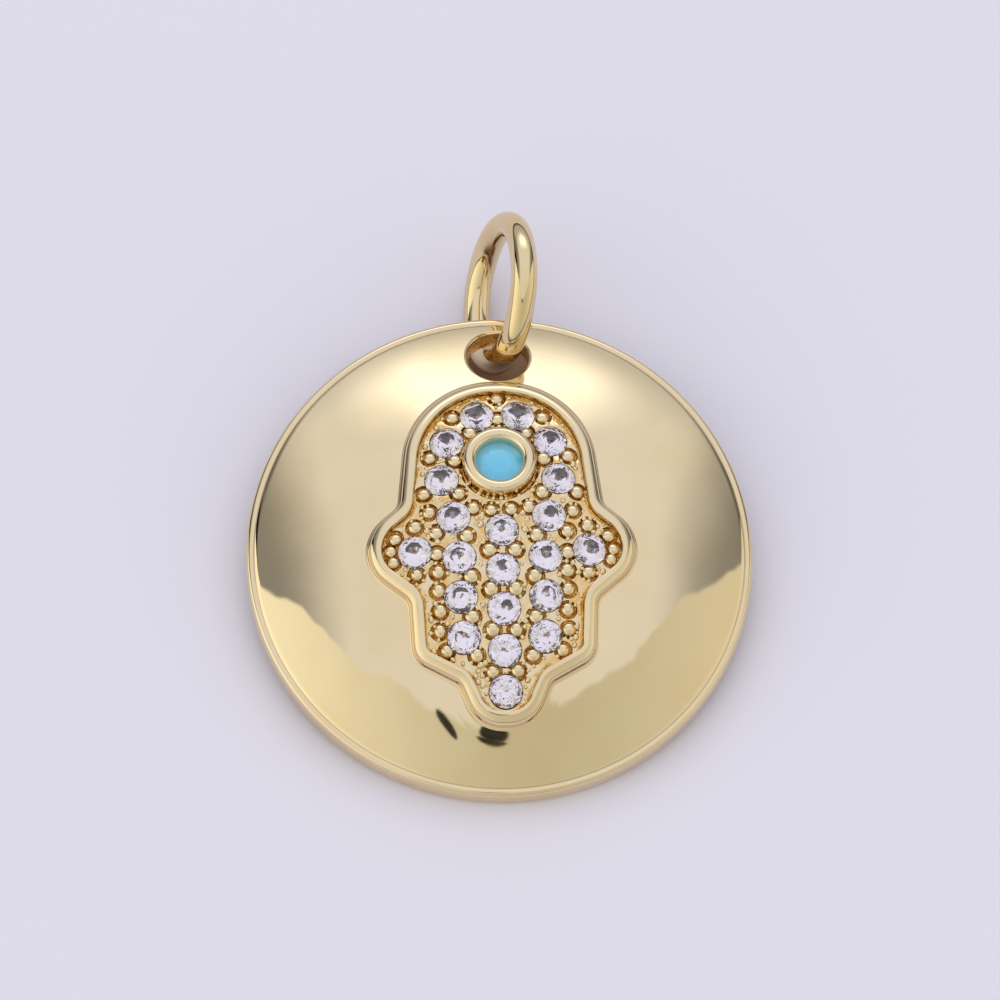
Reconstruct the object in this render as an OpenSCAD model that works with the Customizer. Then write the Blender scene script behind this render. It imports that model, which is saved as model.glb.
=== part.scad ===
// Hamsa pendant: a domed round disc with a raised hand set with stones,
// lying face up on a table with its jump ring through the hole.
// The model stands on z = 0, the hand points towards -Y and the ring lies towards +Y.

/* [Disc] */
// Diameter across the outer edge
disc_d = 18; // [17:0.1:19]
// Rise of the dome from the outer edge to its crown
dome_rise = 2.4; // [2.2:0.05:2.6]
// Thickness of the domed wall
wall = 0.9; // [0.8:0.05:1]
// Thickness at the outer edge
edge_t = 0.8; // [0.7:0.05:0.9]
// Rounding of the outer edge, above and below
edge_round = 0.2; // [0.1:0.05:0.25]

/* [Ring hole] */
// Diameter of the hole for the jump ring
hole_d = 2.2; // [2.1:0.05:2.4]
// Shift of the hole from the middle line towards +X
hole_aside = 0.14; // [0:0.02:0.2]
// Metal left between the hole and the outer edge, measured flat
hole_margin = 0.6; // [0.5:0.05:0.7]
// Lean of the hole from square to the disc, outwards at the top
hole_lean = 8; // [4:1:10]

/* [Raised hand] */
// Length from the top of the palm to the tip of the middle finger, measured flat
hand_len = 12.75; // [12.4:0.05:12.9]
// Width from thumb to thumb, measured flat
hand_w = 9.36; // [9.1:0.02:9.6]
// Metal left between the ring hole and the top of the hand, measured flat
hand_gap = 0.18; // [0.16:0.02:0.3]
// Height of the hand's rim above the face of the dome
hand_raise = 0.34; // [0.3:0.02:0.36]
// Width of the plain rim round the stones
rim_w = 0.42; // [0.38:0.02:0.46]
// Depth of the stone field below the rim
field_drop = 0.4; // [0.38:0.02:0.44]

/* [Clear stones] */
// Diameter of a clear stone
stone_d = 1.2; // [1.1:0.05:1.25]
// Height of the stones' girdles above the field
stone_lift = 0.08; // [0.04:0.02:0.12]
// Gap between a stone and its seat
seat_gap = 0.02; // [0.01:0.01:0.03]
// Diameter of the largest raised bead between the stones
bead_d = 0.6; // [0.5:0.02:0.6]
// Depth of a bead's middle below the field
bead_sink = 0.02; // [0:0.01:0.04]

/* [Eye] */
// Diameter of the blue stone
eye_d = 2; // [1.9:0.05:2.1]
// Depth of the blue stone's table below the top of its bezel
eye_sink = 0.34; // [0.3:0.02:0.4]
// Width of the bezel's rounded top
bezel_w = 0.44; // [0.4:0.02:0.46]
// Height of the bezel above the field
bezel_h = 0.46; // [0.42:0.02:0.52]
// Width of the lip that laps over the edge of the blue stone
bezel_lip = 0.12; // [0.08:0.01:0.14]

/* [Jump ring] */
// Outer diameter of the jump ring
ring_d = 5.9; // [5.8:0.1:6.4]
// Diameter of the ring's wire
wire_d = 0.95; // [0.85:0.05:1]
// Lean of the ring from upright, towards +X at the top
ring_lean = 18; // [14:1:20]
// Slip of the ring from centred in the hole towards the hand
ring_slip = 0.06; // [0:0.02:0.2]
// Shift of the ring's middle towards +X
ring_aside = 0.32; // [0.2:0.02:0.4]
// Gap left round the ring's wire where the disc rests on it
ring_gap = 0.08; // [0.06:0.01:0.1]

/* [Hidden] */
$fn = 64;
// How far a cut runs on past the metal
OVERCUT = 1;
// Largest turn between neighbouring points of an outline's arc, in degrees
ARC_ANGLE = 9;
// Segments of each rounded edge
ROUND_STEPS = 5;

// Columns of the tables: share across, share down, and share of the half width or bead
ACROSS = 0;
DOWN = 1;
SIZE = 2;

// Corners of the hand's right half before rounding, from the top centre down.
// Across and radius are shares of the half width, down is a share of the length.
HAND_CORNERS = [
    [0.640, 0.000, 0.692], // arch of the palm
    [0.759, 0.379, 0.13],  // root of the thumb
    [1.182, 0.500, 0.314], // tip of the thumb
    [0.700, 0.652, 0.13],  // below the thumb
    [0.680, 0.816, 0.18],  // tips of the side fingers
    [0.334, 0.886, 0.13],  // root of the middle finger
    [0.204, 1.000, 0.27]   // tip of the middle finger
];

// Clear stones from the top down: a row off the middle line is a pair.
STONE_ROWS = [
    [0.155, 0.106],
    [0.393, 0.187],
    [0.443, 0.303],
    [0.362, 0.416],
    [0.000, 0.458],
    [0.661, 0.513],
    [0.327, 0.535],
    [0.000, 0.573],
    [0.323, 0.648],
    [0.000, 0.684],
    [0.308, 0.761],
    [0.000, 0.800],
    [0.000, 0.910]
];

// Raised beads between the stones, with their size as a share of the largest.
BEAD_ROWS = [
    [0.000, 0.048, 0.70],
    [0.000, 0.116, 0.75],
    [0.344, 0.107, 0.80],
    [0.214, 0.159, 0.70],
    [0.527, 0.232, 0.80],
    [0.339, 0.243, 0.80],
    [0.318, 0.344, 0.90],
    [0.583, 0.343, 0.80],
    [0.212, 0.390, 0.75],
    [0.076, 0.397, 0.70],
    [0.547, 0.399, 0.80],
    [0.656, 0.442, 0.80],
    [0.499, 0.460, 0.85],
    [0.266, 0.473, 1.00],
    [0.810, 0.470, 0.75],
    [0.846, 0.508, 0.60],
    [0.098, 0.516, 1.00],
    [0.497, 0.522, 0.80],
    [0.828, 0.539, 0.75],
    [0.490, 0.576, 0.85],
    [0.654, 0.580, 0.80],
    [0.243, 0.593, 1.00],
    [0.095, 0.630, 1.00],
    [0.493, 0.629, 0.80],
    [0.484, 0.687, 0.80],
    [0.242, 0.706, 1.00],
    [0.090, 0.744, 1.00],
    [0.490, 0.742, 0.80],
    [0.441, 0.799, 0.75],
    [0.213, 0.813, 0.85],
    [0.095, 0.857, 0.85]
];
// Place of the blue stone down the hand
EYE_DOWN = 0.253;

// Share of a cut stone's diameter, as on a round brilliant
TABLE_SHARE = 0.56;
STAR_SHARE = 0.80;
CROWN_SHARE = 0.16;
GIRDLE_SHARE = 0.03;
PAVILION_SHARE = 0.42;
CULET_SHARE = 0.24;
// The blue stone is cut flatter
EYE_TABLE_SHARE = 0.46;
EYE_CROWN_SHARE = 0.10;
EYE_PAVILION_SHARE = 0.20;
MAIN_FACETS = 8;
// Each clear stone is turned on from the one before it, in degrees
STONE_TURN = 17;

// The dome in the disc's own frame: the back edge lies on z = 0, the centre on x = y = 0
disc_r = disc_d / 2;
dome_r = (disc_r * disc_r + dome_rise * dome_rise) / (2 * dome_rise);
dome_z = edge_t + dome_rise - dome_r;
hollow_r = dome_r - wall;
crown_z = dome_z + dome_r;
// Centre of the upper edge's rounding, tangent to the dome and the side
edge_top_z = dome_z + sqrt(pow(dome_r - edge_round, 2) - pow(disc_r - edge_round, 2));
edge_tangent = atan2(edge_top_z - dome_z, disc_r - edge_round);

// The hole's middle on the face and in the wall, before it is set aside
hole_r = hole_d / 2;
hole_y = disc_r - hole_margin - hole_r;
hole_face_z = dome_z + sqrt(dome_r * dome_r - hole_y * hole_y);
hole_mid_y = hole_y - wall / 2 * tan(hole_lean);

// The hand's places, measured flat, and its levels, measured from the face of the dome
hand_top = hole_y - hole_r - hand_gap;
hand_half = hand_w / 2;
eye_y = hand_top - EYE_DOWN * hand_len;
field_lift = hand_raise - field_drop;
girdle_lift = field_lift + stone_lift;
bezel_lift = field_lift + bezel_h;
eye_girdle_lift = bezel_lift - eye_sink - EYE_CROWN_SHARE * eye_d;

// The ring on the table
wire_r = wire_d / 2;
ring_r = ring_d / 2 - wire_r;
ring_z = ring_r * cos(ring_lean) + wire_r;
ring_y = hole_mid_y + ring_r - ring_slip;

// The two places where the disc can rest on the ring, as [y, z] in the disc's frame:
// the far lower edge of the hole, and the inner edge of the flat back rim
far_y = hole_y + hole_r * cos(hole_lean);
far_z = hole_face_z - hole_r * sin(hole_lean) - dome_z;
far_along = far_y * sin(hole_lean) + far_z * cos(hole_lean);
far_slide = -far_along + sqrt(pow(far_along, 2) - far_y * far_y - far_z * far_z + hollow_r * hollow_r);
HOLE_REST = [far_y + far_slide * sin(hole_lean), dome_z + far_z + far_slide * cos(hole_lean)];
RIM_REST = [sqrt(hollow_r * hollow_r - dome_z * dome_z), 0];

// The disc tips about the rounding of its lowest edge
pivot_y = disc_r - edge_round;
function tipped_y(p, tip) = (p[0] + pivot_y) * cos(tip) - (p[1] - edge_round) * sin(tip) - pivot_y;
function ring_floor(y) = ring_z - cos(ring_lean)
    * sqrt(pow(ring_r - wire_r - ring_gap, 2) - pow(min(0, y - ring_y), 2));
function tip_for(p, tip) = asin((ring_floor(tipped_y(p, tip)) - p[1]) / (p[0] + pivot_y));
function next_tip(tip) = max(tip_for(HOLE_REST, tip), tip_for(RIM_REST, tip));
rest_tip = next_tip(next_tip(next_tip(0)));

// The model's middle lies on the origin
front_y = -disc_r - (edge_top_z - edge_round) * sin(rest_tip);
back_y = ring_y + ring_r + wire_r;
middle_y = (front_y + back_y) / 2;

// Puts what is modelled in the disc's frame at its place on the table
module lay_on_table() {
    translate([0, -middle_y - pivot_y, edge_round])
        rotate([rest_tip, 0, 0])
            translate([0, pivot_y, -edge_round])
                children();
}

// Puts what stands on z = 0 on the face of the dome, square to it and raised by lift
module on_dome(place, lift) {
    translate([0, 0, dome_z])
        rotate(asin(norm(place) / dome_r), [-place[1], place[0], 0])
            translate([0, 0, dome_r + lift])
                children();
}

// Ball on which all of the dome's face would lie, raised by lift
module dome_ball(lift) {
    translate([0, 0, dome_z]) sphere(dome_r + lift, $fn = 256);
}

// Outlines with rounded corners
function unit(v) = v / norm(v);
function turned(v, angle) = [
    v[0] * cos(angle) - v[1] * sin(angle),
    v[0] * sin(angle) + v[1] * cos(angle)
];

// Points of the rounding at corner b between a and c, moved inwards by inset.
// A corner has an angle wider than flat where the outline turns in.
function rounded_corner(a, b, c, radius, inset) =
    let (
        back = unit(a - b),
        ahead = unit(c - b),
        half = acos(back * ahead) / 2,
        centre = b + unit(back + ahead) * radius / sin(half),
        first = b + back * radius / tan(half) - centre,
        turn = cross(ahead, back) > 0 ? 1 : -1,
        sweep = turn * (180 - 2 * half),
        steps = ceil(abs(sweep) / ARC_ANGLE),
        reach = (radius - turn * inset) / radius
    )
    [for (i = [0:steps]) centre + turned(first, sweep * i / steps) * reach];

function hand_point(row, side) = [
    side * row[ACROSS] * hand_half,
    hand_top - row[DOWN] * hand_len
];

// The hand's outline, anticlockwise, moved inwards by inset
function hand_outline(inset) =
    let (
        rows = len(HAND_CORNERS),
        order = concat([for (i = [rows - 1:-1:0]) [i, 1]], [for (i = [0:rows - 1]) [i, -1]]),
        count = len(order),
        corners = [for (pick = order) hand_point(HAND_CORNERS[pick[0]], pick[1])]
    )
    [for (i = [0:count - 1])
        each rounded_corner(
            corners[(i + count - 1) % count],
            corners[i],
            corners[(i + 1) % count],
            HAND_CORNERS[order[i][0]][SIZE] * hand_half,
            inset
        )
    ];

// Both places of a row, or the one on the middle line
function sides(row) = row[ACROSS] == 0 ? [0] : [-1, 1];

STONES = [for (row = STONE_ROWS) for (side = sides(row)) hand_point(row, side)];
STONE_NAMES = [for (i = [1:len(STONES)]) str("clear_stone_", i < 10 ? "0" : "", i)];

// Points along an arc in the plane of a profile
function arc(centre, radius, from, to, steps) = [
    for (i = [0:steps]) centre + radius * [
        cos(from + (to - from) * i / steps),
        sin(from + (to - from) * i / steps)
    ]
];

// The disc's full height with both edges rounded, before it is hollowed
module disc_blank() {
    lower = arc([disc_r - edge_round, edge_round], edge_round, -90, 0, ROUND_STEPS);
    upper = arc([disc_r - edge_round, edge_top_z], edge_round, 0, edge_tangent, ROUND_STEPS);
    rotate_extrude() intersection() {
        translate([0, dome_z]) circle(dome_r, $fn = 256);
        polygon(concat(
            [[0, 0]],
            lower,
            upper,
            [[disc_r - 2 * edge_round, crown_z], [0, crown_z + OVERCUT]]
        ));
    }
}

// The hand's outline as a block that runs up past the dome
module hand_prism(inset) {
    linear_extrude(crown_z + hand_raise + OVERCUT) polygon(hand_outline(inset));
}

// The raised hand from inside the disc up to its rim, which follows the dome
module hand_block() {
    intersection() {
        hand_prism(0);
        dome_ball(hand_raise);
    }
}

// The sunk field for the stones
module field_cut() {
    difference() {
        hand_prism(rim_w);
        dome_ball(field_lift);
    }
}

// Half beads standing on the field
module beads() {
    for (row = BEAD_ROWS) for (side = sides(row))
        on_dome(hand_point(row, side), field_lift - bead_sink)
            sphere(d = bead_d * row[SIZE]);
}

// Rounded collar that holds the blue stone
module bezel() {
    inner = eye_d / 2 - bezel_lip;
    outer = inner + bezel_w;
    round_r = bezel_w / 2;
    foot = field_lift - wall / 2;
    lip_z = eye_girdle_lift + seat_gap
        + EYE_CROWN_SHARE * eye_d * bezel_lip / ((1 - EYE_TABLE_SHARE) * eye_d / 2);
    on_dome([0, eye_y], 0) rotate_extrude() polygon(concat(
        [[eye_d / 2 + seat_gap, foot], [outer, foot]],
        arc([inner + round_r, bezel_lift - round_r], round_r, 0, 180, 2 * ROUND_STEPS),
        [[inner, lip_z + seat_gap], [eye_d / 2 + seat_gap, eye_girdle_lift + seat_gap]]
    ));
}

// Hole for a round stone: straight down to the girdle, then along the pavilion
module seat(d, pavilion_share, top) {
    bore_r = d / 2 + seat_gap;
    depth = pavilion_share * d + 2 * seat_gap;
    below = GIRDLE_SHARE * d + seat_gap;
    rotate_extrude() polygon([
        [0, -below - depth],
        [seat_gap, -below - depth],
        [bore_r, -below],
        [bore_r, top],
        [0, top]
    ]);
}

// Room for the blue stone, open above for its bezel
module eye_room() {
    on_dome([0, eye_y], eye_girdle_lift) seat(eye_d, EYE_PAVILION_SHARE, field_drop + OVERCUT);
}

module ring_hole() {
    translate([hole_aside, hole_y, hole_face_z]) rotate([-hole_lean, 0, 0])
        cylinder(h = 2 * wall + 2 * hole_d, r = hole_r, center = true);
}

module domed_disc() {
    color([0.93, 0.80, 0.52]) lay_on_table() difference() {
        union() {
            difference() {
                union() {
                    disc_blank();
                    hand_block();
                }
                dome_ball(-wall);
                field_cut();
                ring_hole();
                eye_room();
            }
            difference() {
                beads();
                eye_room();
            }
            bezel();
        }
        for (place = STONES) on_dome(place, girdle_lift)
            seat(stone_d, PAVILION_SHARE, field_drop + OVERCUT);
    }
}

module jump_ring() {
    color([0.93, 0.80, 0.52])
        translate([ring_aside, ring_y - middle_y, ring_z])
            rotate([0, ring_lean + 90, 0]) rotate_extrude() translate([ring_r, 0]) circle(wire_r, $fn = 48);
}

// Round stone with a table, its girdle's top at z = 0
module cut_stone(d, table_share, crown_share, pavilion_share) {
    half = 180 / MAIN_FACETS;
    r = d / 2;
    table_r = r * table_share;
    star_r = r * STAR_SHARE;
    culet_r = r * CULET_SHARE;
    crown_h = d * crown_share;
    pavilion_h = d * pavilion_share;
    girdle_h = d * GIRDLE_SHARE;
    star_z = crown_h * (r - star_r * cos(half)) / (r - table_r);
    keel_z = -girdle_h - pavilion_h * (r - culet_r * cos(half)) / r;
    function ring(radius, z, count, offset) = [
        for (i = [0:count - 1]) [
            radius * cos(360 * i / count + offset),
            radius * sin(360 * i / count + offset),
            z
        ]
    ];
    m = MAIN_FACETS;
    points = concat(
        ring(table_r, crown_h, m, 0),
        ring(star_r, star_z, m, half),
        ring(r, 0, 2 * m, 0),
        ring(r, -girdle_h, 2 * m, 0),
        ring(culet_r, keel_z, m, half),
        [[0, 0, -girdle_h - pavilion_h]]
    );
    star = m;
    top = 2 * m;
    bottom = 4 * m;
    keel = 6 * m;
    culet = 7 * m;
    faces = concat(
        [[for (i = [m - 1:-1:0]) i]],
        [for (i = [0:m - 1]) let (n = (i + 1) % m) each [
            [i, n, star + i],
            [i, star + i, top + 2 * i],
            [i, top + 2 * i, star + (i + m - 1) % m],
            [star + i, top + 2 * i + 1, top + 2 * i],
            [star + i, top + 2 * n, top + 2 * i + 1],
            [keel + i, bottom + 2 * i, bottom + 2 * i + 1],
            [keel + i, bottom + 2 * i + 1, bottom + 2 * n],
            [culet, bottom + 2 * i, keel + i],
            [culet, keel + (i + m - 1) % m, bottom + 2 * i]
        ]],
        [for (i = [0:2 * m - 1]) let (n = (i + 1) % (2 * m)) each [
            [top + i, top + n, bottom + n],
            [top + i, bottom + n, bottom + i]
        ]]
    );
    polyhedron(points, faces);
}

module eye_stone() {
    color([0.36, 0.72, 0.88]) lay_on_table() on_dome([0, eye_y], eye_girdle_lift)
        cut_stone(eye_d, EYE_TABLE_SHARE, EYE_CROWN_SHARE, EYE_PAVILION_SHARE);
}

module clear_stone(place, turn) {
    color([0.86, 0.84, 0.93]) lay_on_table() on_dome(place, girdle_lift) rotate([0, 0, turn])
        cut_stone(stone_d, TABLE_SHARE, CROWN_SHARE, PAVILION_SHARE);
}

domed_disc();
jump_ring();
eye_stone();
for (i = [0:len(STONES) - 1])
    clear_stone(STONES[i], STONE_TURN * i);
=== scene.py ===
import sys
import logging
import math
import random
from collections.abc import Callable, Iterable, Sequence
from dataclasses import dataclass, field
from enum import Enum

import bmesh
import bpy
import numpy as np
from mathutils import Matrix, Vector, noise


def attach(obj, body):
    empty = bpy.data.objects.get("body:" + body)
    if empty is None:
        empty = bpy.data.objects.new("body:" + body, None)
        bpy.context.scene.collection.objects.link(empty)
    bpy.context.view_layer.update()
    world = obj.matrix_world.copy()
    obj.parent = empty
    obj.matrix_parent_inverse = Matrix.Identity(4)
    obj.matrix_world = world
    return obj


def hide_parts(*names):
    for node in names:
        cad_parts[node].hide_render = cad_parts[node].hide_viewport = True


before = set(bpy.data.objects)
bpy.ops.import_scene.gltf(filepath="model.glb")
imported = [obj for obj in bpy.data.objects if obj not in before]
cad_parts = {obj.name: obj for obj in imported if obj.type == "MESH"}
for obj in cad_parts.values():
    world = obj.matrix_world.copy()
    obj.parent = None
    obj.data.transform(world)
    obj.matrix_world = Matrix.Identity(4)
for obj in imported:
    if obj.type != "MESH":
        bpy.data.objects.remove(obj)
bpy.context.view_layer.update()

log = logging.getLogger("hamsa_pendant")

MM = 0.001
BODY = "root"

Thing = bpy.types.Object
Colour = tuple[float, float, float, float]
Pair = tuple[float, float]


class Slot(Enum):
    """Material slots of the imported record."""

    CASTING = "gold_casting"
    WIRE = "gold_wire"


class Node(Enum):
    """CAD nodes that this scene names one by one."""

    DISC = "domed_disc"
    RING = "jump_ring"
    EYE = "eye_stone"
    CLEAR = "clear_stone_"


@dataclass(frozen=True)
class Corner:
    """A corner of the hand's right half before it is rounded.

    Across and radius are shares of the half width, down is a share of the length.
    """

    across: float
    down: float
    radius: float


@dataclass(frozen=True)
class Bead:
    """A raised bead in the stone field, on both sides where it is off the middle line."""

    across: float
    down: float
    size: float


HAND_CORNERS = (
    Corner(0.640, 0.000, 0.692),
    Corner(0.759, 0.379, 0.13),
    Corner(1.182, 0.500, 0.314),
    Corner(0.700, 0.652, 0.13),
    Corner(0.680, 0.816, 0.18),
    Corner(0.334, 0.886, 0.13),
    Corner(0.204, 1.000, 0.27),
)

STONE_PLACES = (
    *((0.155, 0.106), (0.393, 0.187), (0.443, 0.303), (0.362, 0.416), (0.000, 0.458)),
    *((0.661, 0.513), (0.327, 0.535), (0.000, 0.573), (0.323, 0.648), (0.000, 0.684)),
    *((0.308, 0.761), (0.000, 0.800), (0.000, 0.910)),
)

BEADS = (
    *(Bead(0.000, 0.048, 0.70), Bead(0.000, 0.116, 0.75), Bead(0.344, 0.107, 0.80)),
    *(Bead(0.214, 0.159, 0.70), Bead(0.527, 0.232, 0.80), Bead(0.339, 0.243, 0.80)),
    *(Bead(0.318, 0.344, 0.90), Bead(0.583, 0.343, 0.80), Bead(0.212, 0.390, 0.75)),
    *(Bead(0.076, 0.397, 0.70), Bead(0.547, 0.399, 0.80), Bead(0.656, 0.442, 0.80)),
    *(Bead(0.499, 0.460, 0.85), Bead(0.266, 0.473, 1.00), Bead(0.810, 0.470, 0.75)),
    *(Bead(0.846, 0.508, 0.60), Bead(0.098, 0.516, 1.00), Bead(0.497, 0.522, 0.80)),
    *(Bead(0.828, 0.539, 0.75), Bead(0.490, 0.576, 0.85), Bead(0.654, 0.580, 0.80)),
    *(Bead(0.243, 0.593, 1.00), Bead(0.095, 0.630, 1.00), Bead(0.493, 0.629, 0.80)),
    *(Bead(0.484, 0.687, 0.80), Bead(0.242, 0.706, 1.00), Bead(0.090, 0.744, 1.00)),
    *(Bead(0.490, 0.742, 0.80), Bead(0.441, 0.799, 0.75), Bead(0.213, 0.813, 0.85)),
    Bead(0.095, 0.857, 0.85),
)


@dataclass(frozen=True)
class Layout:
    """Sizes of the pendant in millimetres, as in the CAD source.

    They are in the disc's own frame: its back edge lies on z = 0, its centre on x = y = 0.
    Lifts are heights above the dome's face.
    """

    disc_r: float = 9.0
    dome_rise: float = 2.4
    wall: float = 0.9
    edge_t: float = 0.8
    edge_round: float = 0.2
    hole_r: float = 1.1
    hole_aside: float = 0.14
    hole_y: float = 7.3
    hole_lean: float = 8.0
    hand_top: float = 6.02
    hand_len: float = 12.75
    hand_half: float = 4.68
    hand_raise: float = 0.34
    rim_w: float = 0.42
    field_drop: float = 0.4
    stone_d: float = 1.2
    stone_lift: float = 0.08
    bead_d: float = 0.6
    eye_d: float = 2.0
    eye_down: float = 0.253
    bezel_w: float = 0.44
    bezel_h: float = 0.46
    bezel_lip: float = 0.12
    ring_r: float = 2.475
    wire_r: float = 0.475
    ring_lean: float = 18.0
    ring_aside: float = 0.32
    ring_y: float = 9.65176
    ring_z: float = 2.82886
    rest_tip: float = 5.02337
    middle_y: float = 1.7797

    @property
    def dome_r(self) -> float:
        """Radius of the dome's sphere."""
        return (self.disc_r**2 + self.dome_rise**2) / (2 * self.dome_rise)

    @property
    def dome_z(self) -> float:
        """Height of the middle of the dome's sphere, below the table."""
        return self.edge_t + self.dome_rise - self.dome_r

    @property
    def field_lift(self) -> float:
        """Lift of the field that the stones stand in."""
        return self.hand_raise - self.field_drop

    @property
    def eye_y(self) -> float:
        """Place of the blue stone on the middle line."""
        return self.hand_top - self.eye_down * self.hand_len

    def dome(self, x: np.ndarray, y: np.ndarray, lift: np.ndarray | float = 0.0) -> np.ndarray:
        """Height of the dome's face at places, or of a ball about its middle, larger by lift."""
        return self.dome_z + np.sqrt((self.dome_r + lift) ** 2 - x**2 - y**2)

    def stand_on_dome(self, x: float, y: float, lift: float = 0.0) -> Matrix:
        """Puts what stands on z = 0 on the dome's face, square to it.

        Args:
            x: Place across the disc.
            y: Place along the disc.
            lift: Height above the face.

        Returns:
            The place as a matrix.
        """
        lean = Matrix.Identity(4)
        if x or y:
            lean = Matrix.Rotation(math.asin(math.hypot(x, y) / self.dome_r), 4, Vector((-y, x, 0)))
        middle = Matrix.Translation((0, 0, self.dome_z))
        return middle @ lean @ Matrix.Translation((0, 0, self.dome_r + lift))

    def spots(self, across: float, down: float) -> list[Pair]:
        """Turns shares of the hand's half width and length into places: left and right, or one."""
        y = self.hand_top - down * self.hand_len
        return [(side * across * self.hand_half, y) for side in ((-1, 1) if across else (0,))]

    def stone_spots(self) -> list[Pair]:
        """Places of all the clear stones."""
        return [spot for place in STONE_PLACES for spot in self.spots(*place)]

    def on_table(self) -> Matrix:
        """Puts the disc's own frame, in millimetres, at rest on the table, in metres."""
        pivot = Vector((0, self.disc_r - self.edge_round, -self.edge_round))
        shift = Vector((0, -self.middle_y, 0)) - pivot
        tip = Matrix.Rotation(math.radians(self.rest_tip), 4, "X")
        return Matrix.Scale(MM, 4) @ Matrix.Translation(shift) @ tip @ Matrix.Translation(pivot)


# Moves of the hand


def put_down() -> None:
    """Leaves edit mode and deselects everything."""
    if bpy.context.object and bpy.context.object.mode != "OBJECT":
        bpy.ops.object.mode_set(mode="OBJECT")
    bpy.ops.object.select_all(action="DESELECT")


def take(*things: Thing) -> Thing:
    """Selects objects alone.

    Args:
        things: Objects to select.

    Returns:
        The first one, which becomes active.
    """
    put_down()
    for thing in things:
        thing.select_set(True)
    bpy.context.view_layer.objects.active = things[0]
    return things[0]


def add(primitive: Callable[..., object], **settings: object) -> Thing:
    """Adds a primitive, selected alone.

    Args:
        primitive: Operator that adds it.
        settings: Its sizes and place.

    Returns:
        The new object, with its place in its mesh.
    """
    put_down()
    primitive(**settings)
    bpy.ops.object.transform_apply()
    return bpy.context.object


def edit(thing: Thing, mode: str = "VERT", action: str = "DESELECT") -> None:
    """Opens an object in edit mode.

    Args:
        thing: Object to open.
        mode: VERT, EDGE or FACE.
        action: DESELECT or SELECT, for all of the mesh.
    """
    take(thing)
    bpy.ops.object.mode_set(mode="EDIT")
    bpy.ops.mesh.select_mode(type=mode)
    bpy.ops.mesh.select_all(action=action)


def pick(thing: Thing, wanted: Callable[[Vector, Vector], bool], faces: bool = False) -> None:
    """Selects points or faces of the open mesh by their place and normal.

    Args:
        thing: Object in edit mode.
        wanted: Says of a place and a normal whether its point or face is selected.
        faces: Whether faces are picked, by their middles.
    """
    mesh = bmesh.from_edit_mesh(thing.data)
    for part in mesh.faces if faces else mesh.verts:
        part.select = wanted(part.calc_center_median() if faces else part.co, part.normal)
    mesh.select_flush_mode()
    bmesh.update_edit_mesh(thing.data)


def push(move: tuple[float, float, float]) -> None:
    """Extrudes what is selected."""
    bpy.ops.mesh.extrude_region_move(TRANSFORM_OT_translate={"value": move})


def close_skin(thing: Thing, reach: float = 1e-4) -> None:
    """Merges doubled points and turns all faces outwards.

    Args:
        thing: Object to mend.
        reach: Distance below which points are merged.
    """
    edit(thing, action="SELECT")
    bpy.ops.mesh.remove_doubles(threshold=reach)
    bpy.ops.mesh.normals_make_consistent(inside=False)
    put_down()


def use_modifier(thing: Thing, kind: str, **settings: object) -> None:
    """Adds a modifier and applies it.

    Args:
        thing: Object that the modifier shapes.
        kind: Modifier type, such as BOOLEAN.
        settings: Values of the modifier.
    """
    take(thing)
    bpy.ops.object.modifier_add(type=kind)
    modifier = thing.modifiers[-1]
    for name, value in settings.items():
        setattr(modifier, name, value)
    bpy.ops.object.modifier_apply(modifier=modifier.name)


def cut(thing: Thing, cutters: Sequence[Thing]) -> None:
    """Cuts shapes out of an object and throws the cutters away.

    Args:
        thing: Closed object that is cut.
        cutters: Closed objects that take the metal away.
    """
    tray = bpy.data.collections.new("cutters")
    for cutter in cutters:
        tray.objects.link(cutter)
    use_modifier(thing, "BOOLEAN", operand_type="COLLECTION", collection=tray, solver="EXACT")
    for cutter in cutters:
        bpy.data.objects.remove(cutter)
    bpy.data.collections.remove(tray)


def settle(thing: Thing, matrix: Matrix) -> None:
    """Moves an object and applies its place to its mesh."""
    take(thing).matrix_world = matrix @ thing.matrix_world
    bpy.ops.object.transform_apply()


def copy_to(thing: Thing, matrix: Matrix) -> Thing:
    """Copies an object, with a mesh of its own, to a place.

    Args:
        thing: Object to copy.
        matrix: Place of the copy.

    Returns:
        The copy, with its place in its mesh.
    """
    twin = thing.copy()
    twin.data = thing.data.copy()
    bpy.context.scene.collection.objects.link(twin)
    settle(twin, matrix)
    return twin


def points_of(thing: Thing) -> np.ndarray:
    """Reads the points of an object's mesh.

    Args:
        thing: Object to read.

    Returns:
        Rows of x, y and z.
    """
    flat = np.empty(len(thing.data.vertices) * 3)
    thing.data.vertices.foreach_get("co", flat)
    return flat.reshape(-1, 3)


def bend_over_dome(thing: Thing, layout: Layout) -> None:
    """Bends what was modelled flat over the dome, square to its face.

    Args:
        thing: Object whose z is the height above the face.
        layout: Sizes of the dome.
    """
    flat = points_of(thing)
    upright = np.sqrt(layout.dome_r**2 - flat[:, 0] ** 2 - flat[:, 1] ** 2)
    normal = np.column_stack([flat[:, :2], upright]) / layout.dome_r
    bent = normal * (layout.dome_r + flat[:, 2:]) + np.array([0, 0, layout.dome_z])
    thing.data.vertices.foreach_set("co", bent.ravel())
    thing.data.update()


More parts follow.
